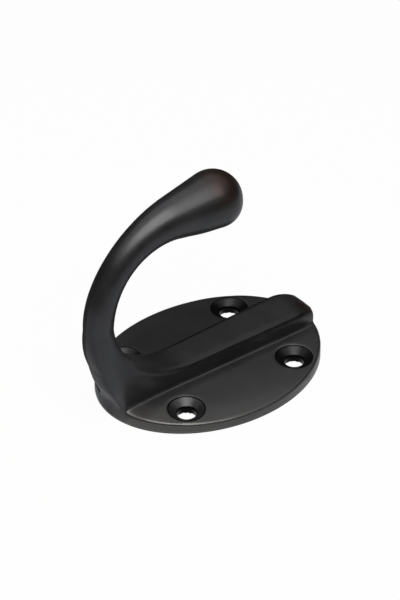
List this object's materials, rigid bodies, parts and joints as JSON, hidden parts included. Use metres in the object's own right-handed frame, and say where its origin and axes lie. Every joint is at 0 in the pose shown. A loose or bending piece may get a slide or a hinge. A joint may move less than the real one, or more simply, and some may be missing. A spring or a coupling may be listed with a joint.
{
  "type": "single robe hook",
  "caption": "Robe hook cast in one piece: an oval wall plate with countersunk screw holes, a raised rib and a curved arm that ends in a rounded club tip.",
  "frame": {"origin": "middle of the plate's flat back, on the centre of the screw pattern", "axes": "+Z out of the wall, +Y up the wall towards the way the tip points, X across the plate"},
  "size_m": [0.0416, 0.0599, 0.0511],
  "materials": {
    "bronze": "oil-rubbed bronze, dark satin with a copper rub on the high spots"
  },
  "bodies": {
    "root": {"robe_hook": "bronze"}
  },
  "joints": []
}
